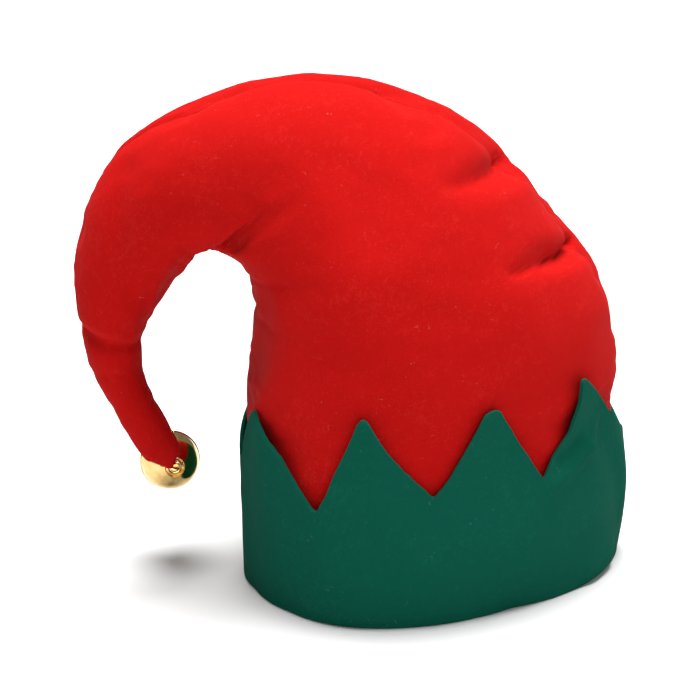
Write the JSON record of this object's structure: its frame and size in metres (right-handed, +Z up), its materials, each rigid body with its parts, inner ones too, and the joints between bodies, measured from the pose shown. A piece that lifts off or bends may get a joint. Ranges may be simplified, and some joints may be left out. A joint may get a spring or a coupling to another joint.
{
  "type": "elf hat",
  "caption": "Felt elf hat standing on its rim: red crown that curls over to a drooping point, green cuff cut into points, jingle bell at the end.",
  "frame": {"origin": "middle of the whole hat's footprint, on the surface that the rim stands on", "axes": "+Z up, +X to the right of the hat as seen from its front, -Y out of the front; the point droops on the -X side"},
  "size_m": [0.2928, 0.1858, 0.2675],
  "materials": {
    "red_felt": "brushed felt",
    "green_felt": "brushed felt",
    "gold_plate": "polished",
    "steel": "dull"
  },
  "bodies": {
    "root": {"crown_front": "red_felt", "crown_back": "red_felt", "cuff": "green_felt", "bell_shell": "gold_plate", "bell_loop": "gold_plate", "bell_pellet": "steel"}
  },
  "joints": []
}
